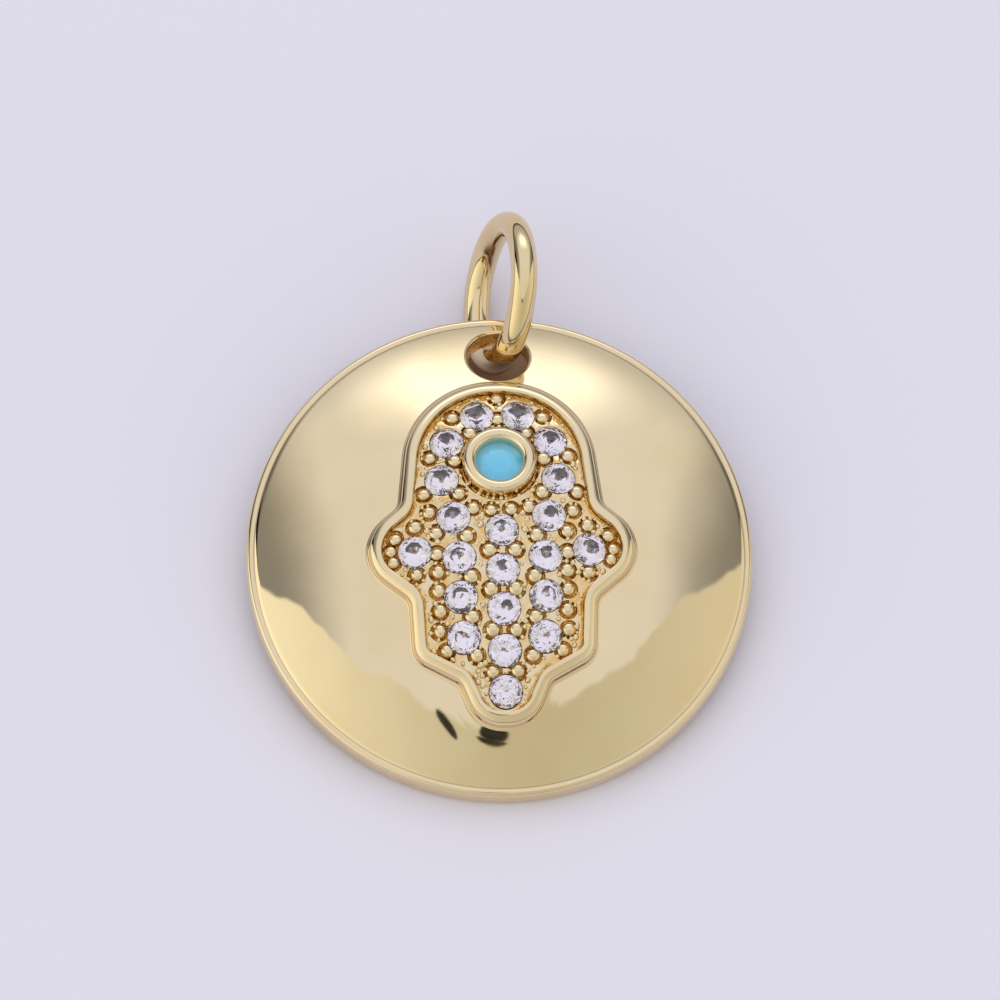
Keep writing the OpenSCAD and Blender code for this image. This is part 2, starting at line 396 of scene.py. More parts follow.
def rolled_skin(rings: np.ndarray) -> Thing:
    """Rolls a flat grid into a closed skin through rings of points.

    Args:
        rings: Points as an array of rings, points in a ring, and x, y, z.

    Returns:
        The closed object, with its seam and poles merged.
    """
    count, around = rings.shape[:2]
    grid = {"x_subdivisions": around, "y_subdivisions": count - 1, "size": 2}
    skin = add(bpy.ops.mesh.primitive_grid_add, **grid)
    flat = points_of(skin).round(5)
    order = np.lexsort((flat[:, 0], flat[:, 1]))
    placed = np.empty_like(flat)
    placed[order] = np.concatenate([rings, rings[:, :1]], axis=1).reshape(-1, 3)
    skin.data.vertices.foreach_set("co", placed.ravel())
    close_skin(skin)
    return skin


def wear(piece: Thing, finishes: Sequence["Finish"]) -> None:
    """Puts finishes on a piece.

    Args:
        piece: Piece or CAD node.
        finishes: One finish for each material slot, in their order.
    """
    slots = piece.data.materials
    for i, finish in enumerate(finishes):
        if i < len(slots):
            slots[i] = finish.material()
        else:
            slots.append(finish.material())


def finish_piece(
    piece: Thing,
    name: str,
    finishes: Sequence["Finish"],
    stands_for: Node,
    sharp_over: float = 60.0,
) -> Thing:
    """Smooths a piece, dresses it and hides the CAD node that it stands for.

    Args:
        piece: Piece in metres, at the origin.
        name: Its name in a maker's words.
        finishes: Finishes in the order of its material slots.
        stands_for: CAD node that it replaces.
        sharp_over: Angle in degrees over which an edge stays sharp.

    Returns:
        The piece.
    """
    piece.name = piece.data.name = name
    take(piece)
    bpy.ops.object.shade_smooth_by_angle(angle=math.radians(sharp_over))
    wear(piece, finishes)
    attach(piece, BODY)
    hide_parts(stands_for.value)
    log.info("%s: %d faces", name, len(piece.data.polygons))
    return piece


# Finishes


@dataclass(frozen=True)
class Value:
    """A socket's value that adds Math nodes when it is used in Python maths."""

    graph: "Graph"
    socket: bpy.types.NodeSocket

    def __add__(self, other: "Value | float") -> "Value":
        """Sum."""
        return self.graph.maths("ADD", self, other)

    def __sub__(self, other: "Value | float") -> "Value":
        """Difference."""
        return self.graph.maths("SUBTRACT", self, other)

    def __rsub__(self, other: float) -> "Value":
        """Difference from a number."""
        return self.graph.maths("SUBTRACT", other, self)

    def __mul__(self, other: "Value | float") -> "Value":
        """Product."""
        return self.graph.maths("MULTIPLY", self, other)

    def __truediv__(self, other: "Value | float") -> "Value":
        """Quotient."""
        return self.graph.maths("DIVIDE", self, other)

    def __abs__(self) -> "Value":
        """Size without its sign."""
        return self.graph.maths("ABSOLUTE", self)

    def at_least(self, low: float) -> "Value":
        """The larger of the value and a number."""
        return self.graph.maths("MAXIMUM", self, low)

    def step(self, low: float, high: float) -> "Value":
        """Smooth step from 0 to 1.

        Args:
            low: Value at which the step starts.
            high: Value at which it ends.

        Returns:
            A value from 0 to 1.
        """
        sockets = {"Value": self, "From Min": low, "From Max": high}
        node = self.graph.node("ShaderNodeMapRange", sockets, interpolation_type="SMOOTHSTEP")
        return Value(self.graph, node.outputs["Result"])

    __radd__ = __add__
    __rmul__ = __mul__


class Graph:
    """Node tree of a material or of the world."""

    def __init__(self, tree: bpy.types.NodeTree) -> None:
        """Takes a node tree and empties it."""
        self.tree = tree
        tree.nodes.clear()

    def node(
        self, kind: str, sockets: dict[str | int, object] | None = None, **settings: object
    ) -> bpy.types.Node:
        """Adds a node, sets it and then fills its sockets.

        Args:
            kind: Node type.
            sockets: Values or links by the name or number of an input.
            settings: Properties of the node.

        Returns:
            The new node.
        """
        node = self.tree.nodes.new(kind)
        for name, value in settings.items():
            setattr(node, name, value)
        for key, value in (sockets or {}).items():
            if isinstance(value, Value):
                value = value.socket
            if isinstance(value, bpy.types.NodeSocket):
                self.tree.links.new(value, node.inputs[key])
            else:
                node.inputs[key].default_value = value
        return node

    def maths(self, operation: str, *terms: "Value | float") -> Value:
        """Adds a Math node that works on values or numbers."""
        node = self.node("ShaderNodeMath", dict(enumerate(terms)), operation=operation)
        return Value(self, node.outputs[0])

    def mix(self, share: "Value | float", first: object, second: object) -> bpy.types.NodeSocket:
        """Mixes two colours or links by the share of the second one."""
        node = self.node("ShaderNodeMix", {0: share, 6: first, 7: second}, data_type="RGBA")
        return node.outputs[2]

    def noise(self, place: object, scale: float, detail: float, rough: float = 0.5) -> Value:
        """Adds a noise pattern.

        Args:
            place: Coordinates.
            scale: Grains to a millimetre.
            detail: Octaves.
            rough: Weight of the finer octaves.

        Returns:
            The pattern's value from 0 to 1.
        """
        sockets = {"Vector": place, "Scale": scale, "Detail": detail, "Roughness": rough}
        return Value(self, self.node("ShaderNodeTexNoise", sockets).outputs["Fac"])

    def millimetres(
        self, stretch: Sequence[float] = (1, 1, 1), turn: float = 0.0
    ) -> bpy.types.NodeSocket:
        """Object coordinates in millimetres.

        Args:
            stretch: Scale of each axis.
            turn: Turn about the upright axis in degrees.

        Returns:
            The coordinates' socket.
        """
        place = self.node("ShaderNodeTexCoord").outputs["Object"]
        scale = [each / MM for each in stretch]
        sockets = {"Vector": place, "Rotation": (0, 0, math.radians(turn)), "Scale": scale}
        return self.node("ShaderNodeMapping", sockets, vector_type="POINT").outputs[0]


def colour(red: float, green: float, blue: float) -> Colour:
    """A colour with full alpha."""
    return red, green, blue, 1.0


@dataclass(frozen=True)
class Finish:
    """A finish of two tones in patches beneath a fine grain, whose material is made once.

    Patches and grain are noises, as grains to a millimetre, octaves and the weight of the
    finer ones. Rough is the least roughness and what varies it, bump is strength and depth.
    """

    name: str
    tone: Colour
    patch_tone: Colour
    patches: tuple[float, ...]
    grain: tuple[float, ...]
    rough: Pair
    bump: Pair
    patch_edge: Pair = (0.35, 0.7)
    fixed: tuple[tuple[str, float], ...] = (("Metallic", 1.0),)

    def material(self) -> bpy.types.Material:
        """Gets the finish's material, made at its first use.

        Returns:
            The material.
        """
        made = bpy.data.materials.get(self.name)
        if made is None:
            made = bpy.data.materials.new(self.name)
            made.use_nodes = True
            graph = Graph(made.node_tree)
            shader = self._shader(graph)
            graph.node("ShaderNodeOutputMaterial", {"Surface": shader.outputs[0]})
        return made

    def _shader(self, graph: Graph) -> bpy.types.Node:
        """Builds the shader.

        Args:
            graph: Empty node tree.

        Returns:
            The shader node that the output takes.
        """
        place = graph.millimetres()
        patches, grain = (graph.noise(place, *each) for each in (self.patches, self.grain))
        strength, depth = self.bump
        height = self._height(graph, grain)
        sockets = {"Strength": strength, "Distance": depth, "Height": height}
        varied = {
            "Base Color": self._colours(graph, patches),
            "Roughness": self._roughness(patches, grain),
            "Normal": graph.node("ShaderNodeBump", sockets).outputs[0],
        }
        return graph.node("ShaderNodeBsdfPrincipled", varied | dict(self.fixed))

    def _colours(self, graph: Graph, patches: Value) -> bpy.types.NodeSocket:
        """Colour of the surface: the two tones in patches."""
        return graph.mix(patches.step(*self.patch_edge), self.tone, self.patch_tone)

    def _roughness(self, patches: Value, grain: Value) -> Value:
        """Roughness, here varied by the grain."""
        return self.rough[0] + grain * self.rough[1]

    def _height(self, graph: Graph, grain: Value) -> Value:
        """Height that the bump reads, here the grain."""
        return grain


@dataclass(frozen=True)
class GoldPlate(Finish):
    """Mirror polished pale gold plate with fine polishing marks.

    The first tone is where the plate is clean, the patches are where it is a little thin; in the
    stone field the deep amber patches are painted gold-on-gold reflection instead.
    """

    name: str = "pale_gold_plate"
    tone: Colour = colour(0.84, 0.685, 0.455)
    patch_tone: Colour = colour(0.815, 0.645, 0.405)
    patches: tuple[float, ...] = (0.35, 4.0)
    grain: tuple[float, ...] = (5.0, 3.0)
    rough: Pair = (0.035, 0.05)
    bump: Pair = (0.12, 0.00004)
    haze_edge: Pair = (0.5, 0.8)
    marks: float = 0.02
    peel: float = 0.03
    peel_grain: float = 1.4

    def _roughness(self, patches: Value, grain: Value) -> Value:
        """Roughness, with a haze in the patches."""
        return self.rough[0] + self.rough[1] * patches.step(*self.haze_edge) * grain

    def _height(self, graph: Graph, grain: Value) -> Value:
        """Height of the polishing marks and of the plate's soft waves."""
        marks = graph.noise(graph.millimetres((1, 14, 1), 25), 3.0, 2.0) * self.marks
        return marks + graph.noise(graph.millimetres(), self.peel_grain, 1.0) * self.peel


@dataclass(frozen=True)
class RecessGoldPaintedShade(Finish):
    """Gold in the pits and at the foot of the rim, still rough from casting; its deep orange and
    light amber patches are painted shade and painted gold-on-gold reflection.
    """

    name: str = "recess_gold_painted_shade"
    # Painted shade and painted gold-on-gold reflection: deep orange, with light amber glints in
    # patches.
    tone: Colour = colour(0.68, 0.38, 0.11)
    patch_tone: Colour = colour(0.97, 0.74, 0.37)
    patches: tuple[float, ...] = (4.5, 3.0)
    grain: tuple[float, ...] = (6.0, 3.0, 0.6)
    rough: Pair = (0.1, 0.15)
    bump: Pair = (0.9, 0.00012)
    patch_edge: Pair = (0.38, 0.54)


@dataclass(frozen=True)
class DullSeatPaintedShade(Finish):
    """Dull metal inside the stones' seats, rough as it comes from the mould, its near-black and
    mauve colour a painted shade of the cavity behind each stone.
    """

    name: str = "dull_seat_painted_shade"
    # Painted shade: near-black and mauve, for the shadowed cavity behind each stone.
    tone: Colour = colour(0.10, 0.07, 0.075)
    patch_tone: Colour = colour(0.34, 0.23, 0.22)
    patches: tuple[float, ...] = (1.6, 3.0)
    grain: tuple[float, ...] = (14.0, 2.0)
    rough: Pair = (0.45, 0.2)
    bump: Pair = (0.4, 0.00003)
    patch_edge: Pair = (0.4, 0.7)


@dataclass(frozen=True)
class ClearStone(Finish):
    """Clear cut stone with a faint lilac tint and softly worn facets; its darker lilac patches are
    painted dark reflections.
    """

    name: str = "clear_cut_stone"
    tone: Colour = colour(0.96, 0.89, 0.985)
    # Darker lilac patches: painted dark reflections.
    patch_tone: Colour = colour(0.90, 0.80, 0.95)
    patches: tuple[float, ...] = (2.2, 2.0)
    grain: tuple[float, ...] = (3.2, 0.0)
    rough: Pair = (0.012, 0.01)
    bump: Pair = (0.8, 0.00006)
    patch_edge: Pair = (0.3, 0.7)
    fixed: tuple[tuple[str, float], ...] = (("IOR", 1.71), ("Transmission Weight", 1.0))

    def _roughness(self, patches: Value, grain: Value) -> Value:
        """Roughness, varied by the patches."""
        return self.rough[0] + patches * self.rough[1]


@dataclass(frozen=True)
class BlueStone(Finish):
    """Opaque sky blue stone, glossy, slightly clouded."""

    name: str = "sky_blue_stone"
    tone: Colour = colour(0.105, 0.59, 0.95)
    patch_tone: Colour = colour(0.16, 0.65, 0.97)
    patches: tuple[float, ...] = (1.3, 4.0)
    grain: tuple[float, ...] = (9.0, 2.0)
    rough: Pair = (0.08, 0.05)
    bump: Pair = (0.1, 0.00002)
    fixed: tuple[tuple[str, float], ...] = (
        *(("IOR", 1.75), ("Coat Weight", 1.0), ("Coat Roughness", 0.04)),
    )


@dataclass(frozen=True)
class PaleFloor(Finish):
    """Plain pale floor with a faint lavender cast and paper grain, and a painted brown shade
    beneath the ring hole.
    """

    name: str = "pale_floor"
    tone: Colour = colour(0.885, 0.85, 1.0)
    patch_tone: Colour = colour(0.87, 0.835, 0.985)
    patches: tuple[float, ...] = (0.02, 2.0)
    grain: tuple[float, ...] = (2.0, 3.0)
    rough: Pair = (0.75, 0.1)
    bump: Pair = (0.05, 0.00002)
    fixed: tuple[tuple[str, float], ...] = ()
    # Painted shade: brown on the floor beneath the ring hole, for the disc's shadow and the gold's
    # bounced light.
    painted_shade: Colour = colour(0.42, 0.25, 0.15)
    painted_shade_middle: tuple[float, float, float] = (0.0002, 0.006, 0.0)
    painted_shade_reach: Pair = (0.0013, 0.0019)

    def _colours(self, graph: Graph, patches: Value) -> bpy.types.NodeSocket:
        """Colour of the paper, with a painted brown shade on it beneath the ring hole, for the
        disc's shadow and the gold's bounced light.

        Args:
            graph: Node tree to build in.
            patches: Pattern of the paper.

        Returns:
            The colour's socket.
        """
        ends = {0: graph.node("ShaderNodeTexCoord").outputs["Object"], 1: self.painted_shade_middle}
        away = graph.node("ShaderNodeVectorMath", ends, operation="DISTANCE").outputs["Value"]
        paper = graph.mix(patches, self.tone, self.patch_tone)
        # Mixes the painted shade in near the point beneath the ring hole.
        return graph.mix(Value(graph, away).step(*self.painted_shade_reach), self.painted_shade, paper)


# The hand's outline


@dataclass
class HandOutline:
    """Outline of the raised hand, seen from above."""

    layout: Layout
    arc_step: float = 2.0
    middle: Pair = (0.0, -0.5)
    rays: int = 540
    block: int = 8000
    search: float = 1.3
    search_steps: int = 105
    loop: np.ndarray = field(init=False)

    def __post_init__(self) -> None:
        """Draws the outline once."""
        self.loop = self.points(0.0)

    def points(self, inset: float) -> np.ndarray:
        """Rounds the corners, anticlockwise.

        Args:
            inset: Distance that the outline is moved inwards.

        Returns:
            The outline's points.
        """
        right = [(self.layout.spots(c.across, c.down)[-1], c.radius) for c in HAND_CORNERS]
        left = [((-x, y), radius) for (x, y), radius in right]
        corners = [*reversed(right), *left]
        drawn: list[Vector] = []
        for i, (place, share) in enumerate(corners):
            near = (corners[i - 1][0], place, corners[(i + 1) % len(corners)][0])
            drawn += self._rounded(*map(Vector, near), share * self.layout.hand_half, inset)
        return np.array(drawn)

    def _rounded(
        self, before: Vector, place: Vector, after: Vector, radius: float, inset: float
    ) -> list[Vector]:
        """Rounds one corner between its neighbours.

        Args:
            before: Corner before it.
            place: The corner.
            after: Corner after it.
            radius: Radius of the rounding.
            inset: Distance that the rounding is moved inwards.

        Returns:
            Points of the rounding.
        """
        back, ahead = (before - place).normalized(), (after - place).normalized()
        half = math.acos(back.dot(ahead)) / 2
        centre = place + (back + ahead).normalized() * (radius / math.sin(half))
        first = place + back * (radius / math.tan(half)) - centre
        turn = 1 if ahead.x * back.y - ahead.y * back.x > 0 else -1
        sweep = turn * (math.pi - 2 * half)
        steps = math.ceil(math.degrees(abs(sweep)) / self.arc_step)
        reach = (radius - turn * inset) / radius
        turns = (Matrix.Rotation(sweep * i / steps, 2) for i in range(steps + 1))
        return [centre + each @ first * reach for each in turns]

    def distance(self, places: np.ndarray) -> np.ndarray:
        """Distance from the outline.

        Args:
            places: Places as rows of x and y.

        Returns:
            Distances, below zero inside the hand.
        """
        start = self.loop
        along = np.roll(start, -1, axis=0) - start
        long_enough = np.hypot(*along.T) > 1e-9
        start, along = start[long_enough], along[long_enough]
        result = np.empty(len(places))
        for low in range(0, len(places), self.block):
            part = places[low : low + self.block, None, :]
            off = part - start
            share = np.clip((off * along).sum(2) / (along**2).sum(1), 0, 1)
            gap = np.hypot(*np.moveaxis(off - share[..., None] * along, 2, 0)).min(1)
            crosses = (start[:, 1] > part[..., 1]) != (start[:, 1] + along[:, 1] > part[..., 1])
            slope = along[:, 0] / np.where(along[:, 1] == 0, 1, along[:, 1])
            left_of = part[..., 0] < start[:, 0] + (part[..., 1] - start[:, 1]) * slope
            inside = (crosses & left_of).sum(1) % 2 == 1
            result[low : low + self.block] = np.where(inside, -gap, gap)
        return result

    def directions(self) -> np.ndarray:
        """Directions of the rays from the hand's middle, anticlockwise."""
        angles = np.linspace(0, 2 * np.pi, self.rays, endpoint=False)
        return np.stack([np.cos(angles), np.sin(angles)], axis=1)

    def reach(self, levels: Sequence[float]) -> np.ndarray:
        """Finds where each ray meets each distance from the outline.

        Args:
            levels: Distances from the outline, below zero inside.

        Returns:
            Lengths along the rays, a row for each level.
        """
        rays = self.directions()
        off = self.loop - np.array(self.middle)
        turn = np.arctan2(off[:, 1], off[:, 0])
        order = np.argsort(turn)
        angles = np.arctan2(rays[:, 1], rays[:, 0])
        edge = np.interp(angles, turn[order], np.hypot(*off.T)[order], period=2 * np.pi)
        lengths = edge[:, None] + np.linspace(-self.search, self.search, self.search_steps)
        places = np.array(self.middle) + lengths[..., None] * rays[:, None, :]
        gaps = self.distance(places.reshape(-1, 2)).reshape(lengths.shape)
        return np.array(
            [[np.interp(level, *ray) for ray in zip(gaps, lengths)] for level in levels]
        )

    def places(self, lengths: np.ndarray) -> np.ndarray:
        """Places on the rays at given lengths, as rows of x and y."""
        return np.array(self.middle) + lengths[:, None] * self.directions()


# The gold casting


@dataclass
class DiscCasting:
    """The domed disc with the plain rim of the hand, hollow behind, with its ring hole.

    The rim's section is drawn by its guide points: distance from the rim's inner edge, and lift.
    """

    layout: Layout
    outline: HandOutline
    finish: Finish
    painted_recess_shade: Finish
    section: tuple[Pair, ...] = (
        *((0.0, -0.62), (0.0, 0.10), (0.01, 0.29), (0.04, 0.325), (0.10, 0.34)),
        *((0.18, 0.34), (0.26, 0.326), (0.34, 0.298), (0.41, 0.25), (0.45, 0.19)),
        *((0.475, 0.11), (0.495, 0.035), (0.53, 0.008), (0.62, 0.004), (0.95, 0.0)),
    )
    smoothing: int = 2
    floor_lift: float = -0.62
    floor_shares: tuple[float, ...] = (0.0, 0.5, 0.97)
    ripple: float = 0.016
    ripple_grain: float = 0.6
    ripple_reach: float = 1.3
    ripple_lift: float = 0.05
    recess_lifts: Pair = (-0.7, 0.26)
    hole_round: float = 0.14
    mouth_turn: float = 78.0
    cutter_lifts: Pair = (-3.0, 0.4)
    cutter_sides: int = 96
    lip_lift: float = 0.025
    lip_start: float = 1.85
    crease_w: float = 0.045
    dome_steps: int = 30
    back_steps: int = 12
    arc_steps: int = 6

    def build(self) -> Thing:
        """Builds the casting.

        Returns:
            The dressed piece.
        """
        rings = [*self._hand_rings(), *self._dome_rings(), *self._back_rings()]
        casting = rolled_skin(np.array(rings))
        cut(casting, [self._hole_cutter()])
        finishes = [self.finish, self.painted_recess_shade]
        wear(casting, finishes)
        self._mark_recess(casting)
        settle(casting, self.layout.on_table())
        return finish_piece(casting, "gold_casting", finishes, Node.DISC, 38.0)

    def _rim_section(self) -> np.ndarray:
        """Section of the rim as rows of distance from the hand's outline and lift."""
        points = np.array(self.section)
        for _ in range(self.smoothing):
            near = points[:-1] * 0.75 + points[1:] * 0.25
            far = points[:-1] * 0.25 + points[1:] * 0.75
            middle = np.stack([near, far], axis=1).reshape(-1, 2)
            points = np.concatenate([points[:1], middle, points[-1:]])
        return points - np.array([self.layout.rim_w, 0])

    def _hand_rings(self) -> list[np.ndarray]:
        """Rings of the sunk floor, the rim and the fillet at its foot."""
        plan = self.layout
        section = self._rim_section()
        reach = self.outline.reach(section[:, 0])
        floor = self.outline.places(reach[0])
        rings = []
        for share in self.floor_shares:
            place = np.array(self.outline.middle) * (1 - share) + floor * share
            rings.append(np.column_stack([place, plan.dome(*place.T, self.floor_lift)]))
        for length, lift in zip(reach, section[:, 1]):
            place = self.outline.places(length)
            ripple = self._ripples(place) * np.clip(1 - lift / self.ripple_lift, 0, 1)
            rings.append(np.column_stack([place, plan.dome(*place.T, lift) + ripple]))
        return rings

    def _mark_recess(self, casting: Thing) -> None:
        """Gives the rim's inner wall, the sunk floor and the hole's wall the rough finish painted
        with shade and gold-on-gold reflection.

        Args:
            casting: The casting in the disc's own frame.
        """
        plan = self.layout
        middles = np.array([face.center for face in casting.data.polygons])
        inside = self.outline.distance(middles[:, :2]) < 0.01 - plan.rim_w
        lift = np.linalg.norm(middles - np.array([0, 0, plan.dome_z]), axis=1) - plan.dome_r
        off = middles[:, :2] - np.array([plan.hole_aside, plan.hole_y])
        bored = (np.hypot(*off.T) < plan.hole_r + 0.04) & (lift < -self.hole_round)
        low, high = self.recess_lifts
        # These faces of the hollows take the painted shade.
        recessed = (inside & (lift > low) & (lift < high)) | (bored & (lift > -plan.wall))
        casting.data.polygons.foreach_set("material_index", recessed.astype(int))

    def _ripples(self, place: np.ndarray) -> np.ndarray:
        """Faint unevenness that polishing leaves, strongest near the hand.

        Args:
            place: Places as rows of x and y.

        Returns:
            Heights over the true dome.
        """
        radius = np.hypot(*place.T) / self.layout.disc_r
        wave = [noise.noise(Vector((x, y, 0)) * self.ripple_grain) for x, y in place]
        return np.array(wave) * self.ripple * np.clip(self.ripple_reach - radius, 0, 1)

    def _edge_profile(self) -> list[Pair]:
        """Radius and height of the edge: a crease, a rounded lip and the back rim's rounding."""
        plan, bend = self.layout, self.layout.edge_round
        inner = plan.disc_r - bend
        top = plan.dome_z + math.sqrt((plan.dome_r - bend) ** 2 - inner**2) + self.lip_lift
        foot = inner + bend * math.cos(self.lip_start) - self.crease_w
        start = (foot, plan.dome_z + math.sqrt(plan.dome_r**2 - foot**2))
        upper = [(top, a) for a in np.linspace(self.lip_start, 0, 2 * self.arc_steps + 1)]
        lower = [(bend, a) for a in np.linspace(0, -np.pi / 2, self.arc_steps + 1)]
        turns = [*upper, *lower]
        return [start] + [(inner + bend * math.cos(a), z + bend * math.sin(a)) for z, a in turns]

    def _edge_places(self) -> np.ndarray:
        """Where the rays from the hand's middle meet the circle of the edge's crease."""
        rays, middle = self.outline.directions(), np.array(self.outline.middle)
        along = rays @ middle
        radius = self._edge_profile()[0][0]
        length = -along + np.sqrt(along**2 - middle @ middle + radius**2)
        return middle + length[:, None] * rays

    def _level_rings(self, profile: Iterable[Pair]) -> list[np.ndarray]:
        """Level rings round the disc's middle, one for each radius and height."""
        outer = self._edge_places()
        unit = outer / np.hypot(*outer.T)[:, None]
        return [np.column_stack([unit * r, np.full(len(unit), z)]) for r, z in profile]

    def _dome_rings(self) -> list[np.ndarray]:
        """Rings of the dome from the flare's foot to the edge, and round the edge."""
        outer = self._edge_places()
        inner = self.outline.places(self.outline.reach([self._rim_section()[-1, 0]])[0])
        rings = []
        for share in np.linspace(0, 1, self.dome_steps + 1)[1:-1]:
            place = inner * (1 - share) + outer * share
            height = self.layout.dome(*place.T) + self._ripples(place)
            rings.append(np.column_stack([place, height]))
        return rings + self._level_rings(self._edge_profile())

    def _back_rings(self) -> list[np.ndarray]:
        """Rings of the flat back rim and the hollow behind the dome."""
        plan = self.layout
        hollow_r = plan.dome_r - plan.wall
        rim = math.sqrt(hollow_r**2 - plan.dome_z**2)
        radii = np.linspace(rim, 0, self.back_steps + 1)
        return self._level_rings((r, plan.dome_z + math.sqrt(hollow_r**2 - r**2)) for r in radii)

    def _hole_cutter(self) -> Thing:
        """Cutter of the ring hole, with a mouth that rounds the hole's upper edge.

        Returns:
            The closed cutter.
        """
        plan = self.layout
        bend = self.hole_round
        low, high = self.cutter_lifts
        mouth = np.linspace(0, math.radians(self.mouth_turn), self.arc_steps + 1)
        profile = [(0.0, low), (plan.hole_r, low)]
        profile += [
            (plan.hole_r + bend * (1 - math.cos(a)), -bend * (1 - math.sin(a))) for a in mouth
        ]
        profile += [(profile[-1][0] + 0.04, high), (0.0, high)]
        angles = np.linspace(0, 2 * np.pi, self.cutter_sides, endpoint=False)[:, None]
        lean = math.radians(plan.hole_lean)
        axis = np.array([0, math.sin(lean), math.cos(lean)])
        upper = np.array([0, math.cos(lean), -math.sin(lean)])
        face = plan.dome_z + math.sqrt(plan.dome_r**2 - plan.hole_y**2)
        middle = np.array([plan.hole_aside, plan.hole_y, face - plan.dome_z])
        spokes = np.cos(angles) * np.array([1, 0, 0]) + np.sin(angles) * upper
        rings = []
        for radius, height in profile:
            foot = middle + radius * spokes
            along = foot @ axis
            rise = -along + np.sqrt(along**2 - (foot**2).sum(1) + plan.dome_r**2)
            rings.append(foot + (rise + height)[:, None] * axis + np.array([0, 0, plan.dome_z]))
        return rolled_skin(np.array(rings))


@dataclass
class StoneField:
    """The field inside the rim: a plate cut with a seat for each stone and a pit for each bead.

    It is modelled flat, with z as the height above the dome's face, and then bent over the dome.
    Its finishes are those of the face, of the seats and of the pits; the seats and the pits are
    coloured with painted shade.
    """

    layout: Layout
    outline: HandOutline
    finishes: tuple[Finish, Finish, Finish]
    lift: float = 0.07
    depth: float = 0.5
    lap: float = 0.12
    groove_w: float = 0.03
    groove_depth: float = 0.24
    seat_gap: float = 0.015
    chamfer: float = 0.04
    pit_depth: float = 0.22
    pit_room: float = 0.11
    eye_pit: float = 1.48
    edge_round: float = 0.03
    longest: float = 0.35
    splits: int = 3

    @property
    def top(self) -> float:
        """Height of the plate's face."""
        return self.layout.field_lift + self.lift

    def build(self) -> Thing:
        """Builds the plate.

        Returns:
            The dressed piece.
        """
        plan, groove = self.layout, self.groove_depth
        plate = self._plate(plan.rim_w + self.groove_w, self.top, groove + 0.05)
        base = self._plate(plan.rim_w - self.lap, self.top - groove, self.depth - groove)
        use_modifier(plate, "BOOLEAN", operation="UNION", object=base, solver="EXACT")
        bpy.data.objects.remove(base)
        wear(plate, self.finishes)
        # The plate's sides and underside take the pits' finish, with its painted shade.
        for face in plate.data.polygons:
            face.material_index = 0 if face.center.z > self.top - 0.01 else 2
        cut(plate, [*self._seats(), *self._pits(), self._eye_room()])
        close_skin(plate, 2e-4)
        bevel = {"width": self.edge_round, "segments": 2, "limit_method": "ANGLE"}
        bevel |= {"angle_limit": math.radians(35), "use_clamp_overlap": True}
        use_modifier(plate, "BEVEL", **bevel)
        self._refine(plate)
        bend_over_dome(plate, plan)
        settle(plate, plan.on_table())
        return finish_piece(plate, "stone_field", self.finishes, Node.DISC, 50.0)

    def _refine(self, plate: Thing) -> None:
        """Splits the plate's long edges, so that it bends evenly.

        Args:
            plate: The flat plate.
        """
        edit(plate, "EDGE", "SELECT")
        bpy.ops.mesh.quads_convert_to_tris(quad_method="BEAUTY", ngon_method="BEAUTY")
        for _ in range(self.splits):
            mesh = bmesh.from_edit_mesh(plate.data)
            for edge in mesh.edges:
                edge.select = edge.calc_length() > self.longest
            bmesh.update_edit_mesh(plate.data)
            bpy.ops.mesh.subdivide(number_cuts=1)
            bpy.ops.mesh.select_all(action="SELECT")
            bpy.ops.mesh.quads_convert_to_tris(quad_method="BEAUTY", ngon_method="BEAUTY")
        put_down()

    def _plate(self, inset: float, top: float, depth: float) -> Thing:
        """Flat plate on the hand's outline moved inwards.

        Args:
            inset: Distance inside the hand's outline.
            top: Height of its face.
            depth: Its thickness.

        Returns:
            The closed plate.
        """
        points = self.outline.points(inset)
        circle = {"vertices": len(points), "fill_type": "NGON", "radius": 1}
        plate = add(bpy.ops.mesh.primitive_circle_add, **circle)
        for point, (x, y) in zip(plate.data.vertices, points):
            point.co = (x, y, top)
        edit(plate, "FACE", "SELECT")
        push((0, 0, -depth))
        put_down()
        close_skin(plate)
        return plate

    def _pin(
        self, radius: float, top: float, foot: Pair, mouth: float, slots: tuple[int, int]
    ) -> Thing:
        """Round cutter with a pointed foot and a mouth that opens upwards.

        Args:
            radius: Radius of its straight part.
            top: Height of the straight part's upper end.
            foot: Depth of the pointed foot, and the share of the radius left at its end.
            mouth: How far the mouth opens.
            slots: Material slots of the part above zero and of the foot.

        Returns:
            The closed cutter, its foot's top at z = 0.
        """
        sizes = {"vertices": 40, "radius": radius, "depth": top, "location": (0, 0, top / 2)}
        pin = add(bpy.ops.mesh.primitive_cylinder_add, **sizes)
        depth, tip = foot
        wide = (radius + mouth) / radius
        edit(pin, "FACE")
        pick(pin, lambda middle, normal: normal.z < -0.9, faces=True)
        push((0, 0, -depth))
        bpy.ops.transform.resize(value=(tip, tip, 1), center_override=(0, 0, 0))
        pick(pin, lambda middle, normal: normal.z > 0.9, faces=True)
        push((0, 0, mouth))
        bpy.ops.transform.resize(value=(wide, wide, 1), center_override=(0, 0, 0))
        push((0, 0, 1))
        put_down()
        wear(pin, self.finishes)
        for face in pin.data.polygons:
            face.material_index = slots[int(face.center.z < 0)]
        return pin

    def _copies(self, pin: Thing, spots: Iterable[Pair], height: float) -> list[Thing]:
        """Copies a cutter to its places and drops the first one.

        Args:
            pin: Cutter modelled at the origin.
            spots: Where the copies go.
            height: Their height.

        Returns:
            The copies.
        """
        copies = [copy_to(pin, Matrix.Translation((*spot, height))) for spot in spots]
        bpy.data.objects.remove(pin)
        return copies

